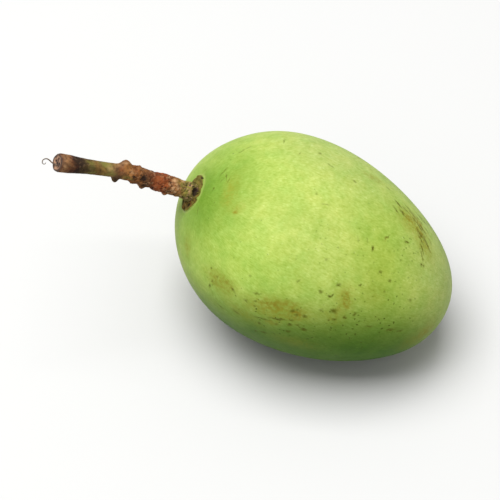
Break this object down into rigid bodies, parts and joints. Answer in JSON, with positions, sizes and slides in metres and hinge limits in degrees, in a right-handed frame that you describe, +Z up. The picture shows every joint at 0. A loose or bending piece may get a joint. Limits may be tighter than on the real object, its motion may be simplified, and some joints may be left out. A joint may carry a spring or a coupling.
{
  "type": "whole mango",
  "caption": "Whole unripe mango, a blunt egg-shaped green fruit lying on its cheek, with a short bent woody stem set in a corky scar at its fuller end.",
  "frame": {"origin": "middle of the small flat spot that the fruit rests on", "axes": "+Z up, +X from the stem end towards the tip along the fruit's length, +Y across it, away from the side that the stem leans to"},
  "size_m": [0.1358, 0.0797, 0.0831],
  "materials": {
    "skin": "waxy green fruit skin, semi-matte",
    "bark": "rough weathered bark"
  },
  "bodies": {
    "root": {"fruit": "skin", "stem": "bark"}
  },
  "joints": []
}
